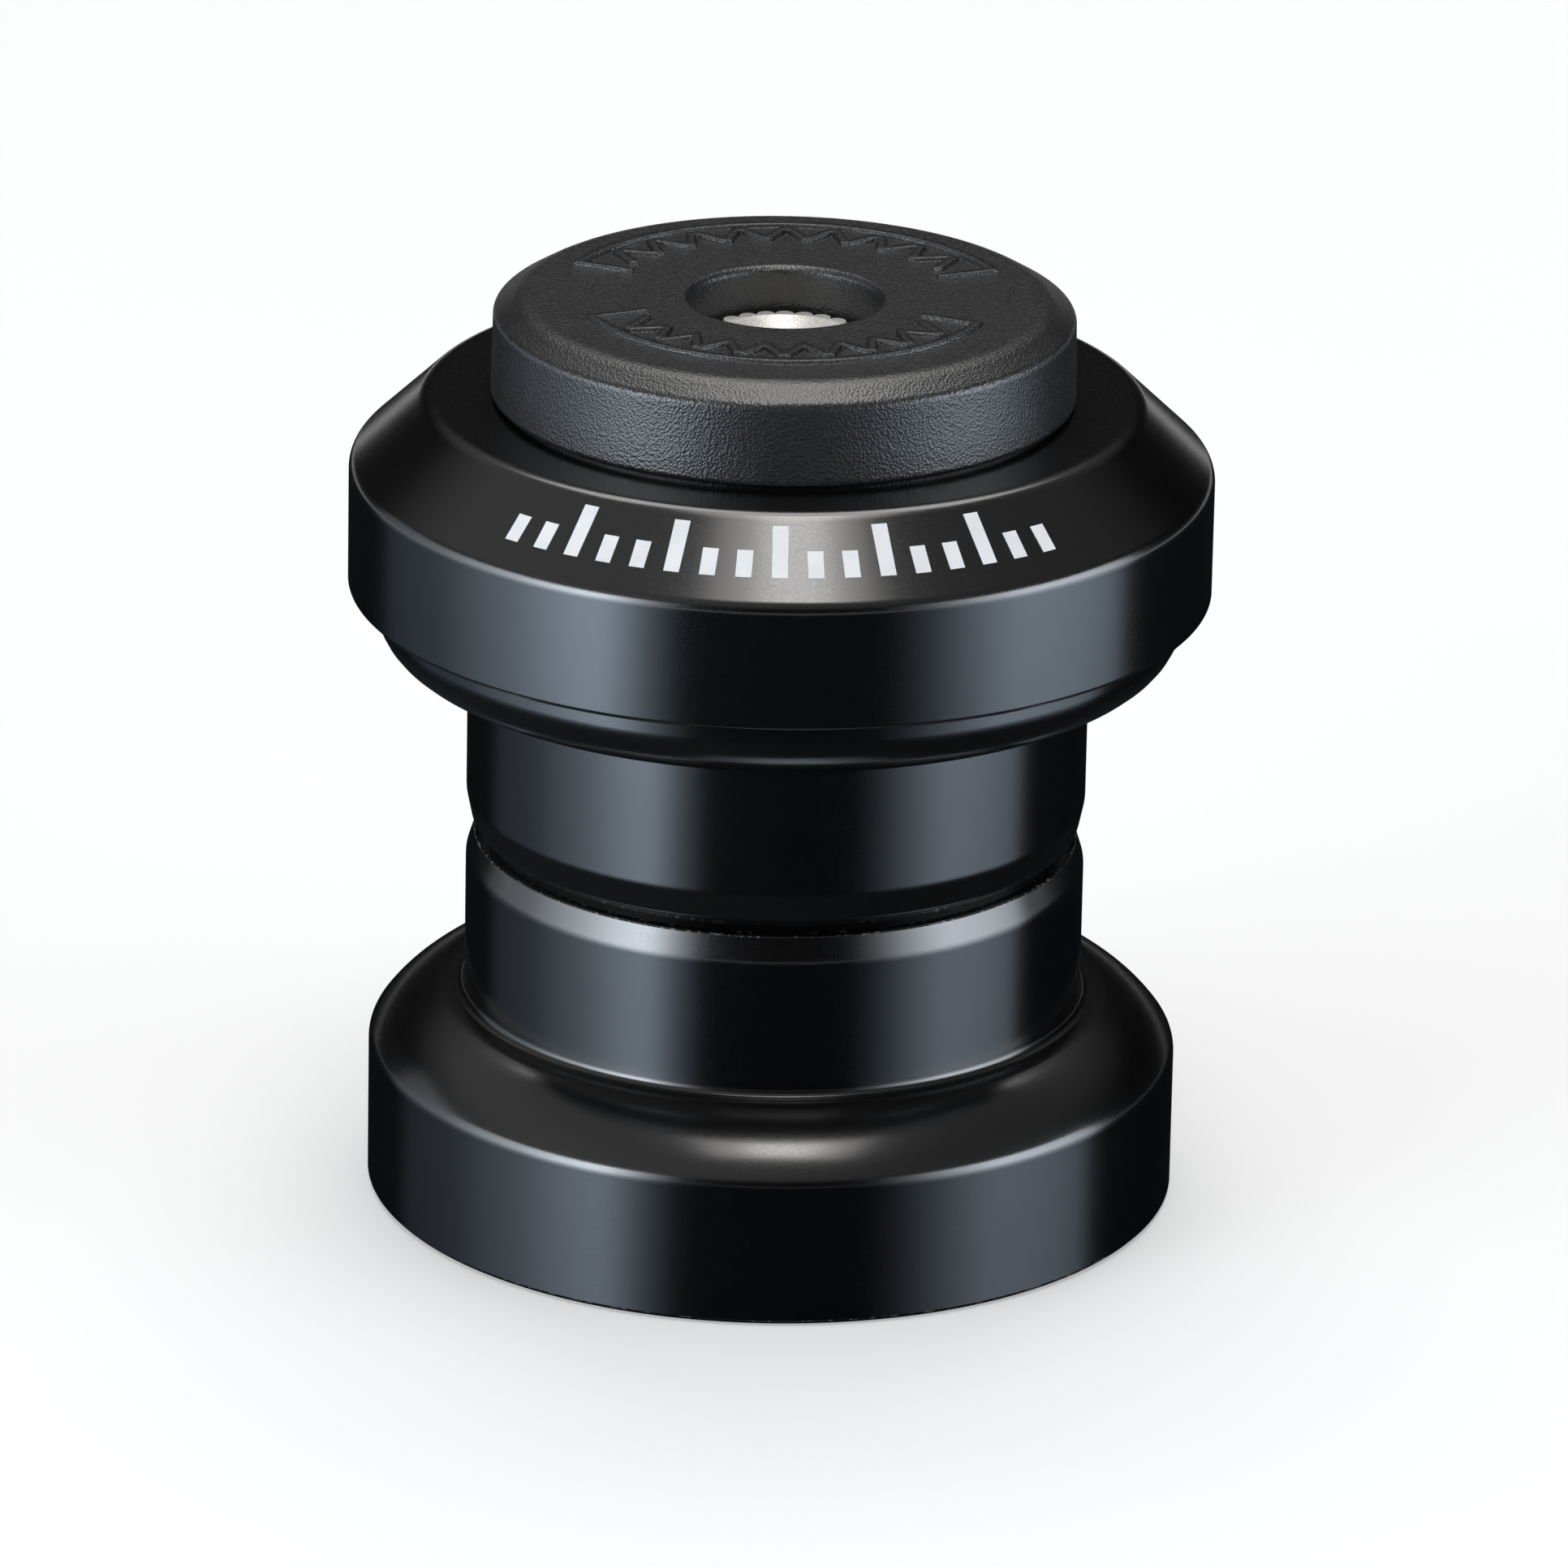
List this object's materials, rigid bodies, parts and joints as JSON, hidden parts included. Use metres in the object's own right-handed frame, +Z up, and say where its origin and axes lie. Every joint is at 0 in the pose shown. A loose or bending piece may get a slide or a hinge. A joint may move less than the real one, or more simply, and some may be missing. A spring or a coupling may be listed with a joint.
{
  "type": "threadless bicycle headset",
  "caption": "Threadless bicycle headset with two pressed cups, cartridge bearings, a conical cover, a crown race and a top cap with its bolt and star nut.",
  "frame": {"origin": "centre of the lower cup's rim, on the plane the headset stands on", "axes": "+Z up along the steering axis, -Y towards the viewer of the picture, +X to the viewer's right"},
  "size_m": [0.0472, 0.0472, 0.0514],
  "materials": {
    "black_anodised": "satin anodised",
    "black_moulded": "grained moulding",
    "plated_steel": "bright zinc",
    "spring_steel": "plain",
    "race_steel": "ground",
    "ball_steel": "polished",
    "cage_nylon": "plain",
    "seal_rubber": "matt",
    "plain_alloy": "turned"
  },
  "bodies": {
    "cups": {"lower_cup": "black_anodised", "upper_cup": "black_anodised", "upper_cup_seal": "seal_rubber", "upper_bearing_outer_race": "race_steel", "upper_bearing_inner_seal": "seal_rubber", "upper_bearing_outer_seal": "seal_rubber", "lower_bearing_outer_race": "race_steel", "lower_bearing_inner_seal": "seal_rubber", "lower_bearing_outer_seal": "seal_rubber"},
    "upper_turning": {"bearing_cover": "black_anodised", "cover_o_ring": "seal_rubber", "compression_ring": "plain_alloy", "upper_bearing_inner_race": "race_steel", "top_cap": "black_moulded", "top_cap_bolt": "plated_steel", "star_nut_barrel": "plated_steel", "star_nut_upper_plate": "spring_steel", "star_nut_lower_plate": "spring_steel"},
    "upper_balls": {"upper_bearing_balls": "ball_steel", "upper_bearing_cage": "cage_nylon"},
    "lower_turning": {"crown_race": "race_steel", "crown_race_seal": "seal_rubber", "lower_bearing_inner_race": "race_steel"},
    "lower_balls": {"lower_bearing_balls": "ball_steel", "lower_bearing_cage": "cage_nylon"}
  },
  "joints": [
    {"name": "upper_steer", "type": "hinge", "parent": "cups", "child": "upper_turning", "pos_m": [0, 0, 0.0356], "axis": [0, 0, 1], "continuous": true},
    {"name": "upper_ball_roll", "type": "hinge", "parent": "cups", "child": "upper_balls", "pos_m": [0, 0, 0.0356], "axis": [0, 0, 1], "continuous": true},
    {"name": "lower_steer", "type": "hinge", "parent": "cups", "child": "lower_turning", "pos_m": [0, 0, 0.0062], "axis": [0, 0, 1], "continuous": true},
    {"name": "lower_ball_roll", "type": "hinge", "parent": "cups", "child": "lower_balls", "pos_m": [0, 0, 0.0062], "axis": [0, 0, 1], "continuous": true}
  ],
  "couplings": [
    {"joint": "upper_ball_roll", "follows": "upper_steer", "ratio": 0.468},
    {"joint": "lower_ball_roll", "follows": "lower_steer", "ratio": 0.468}
  ]
}
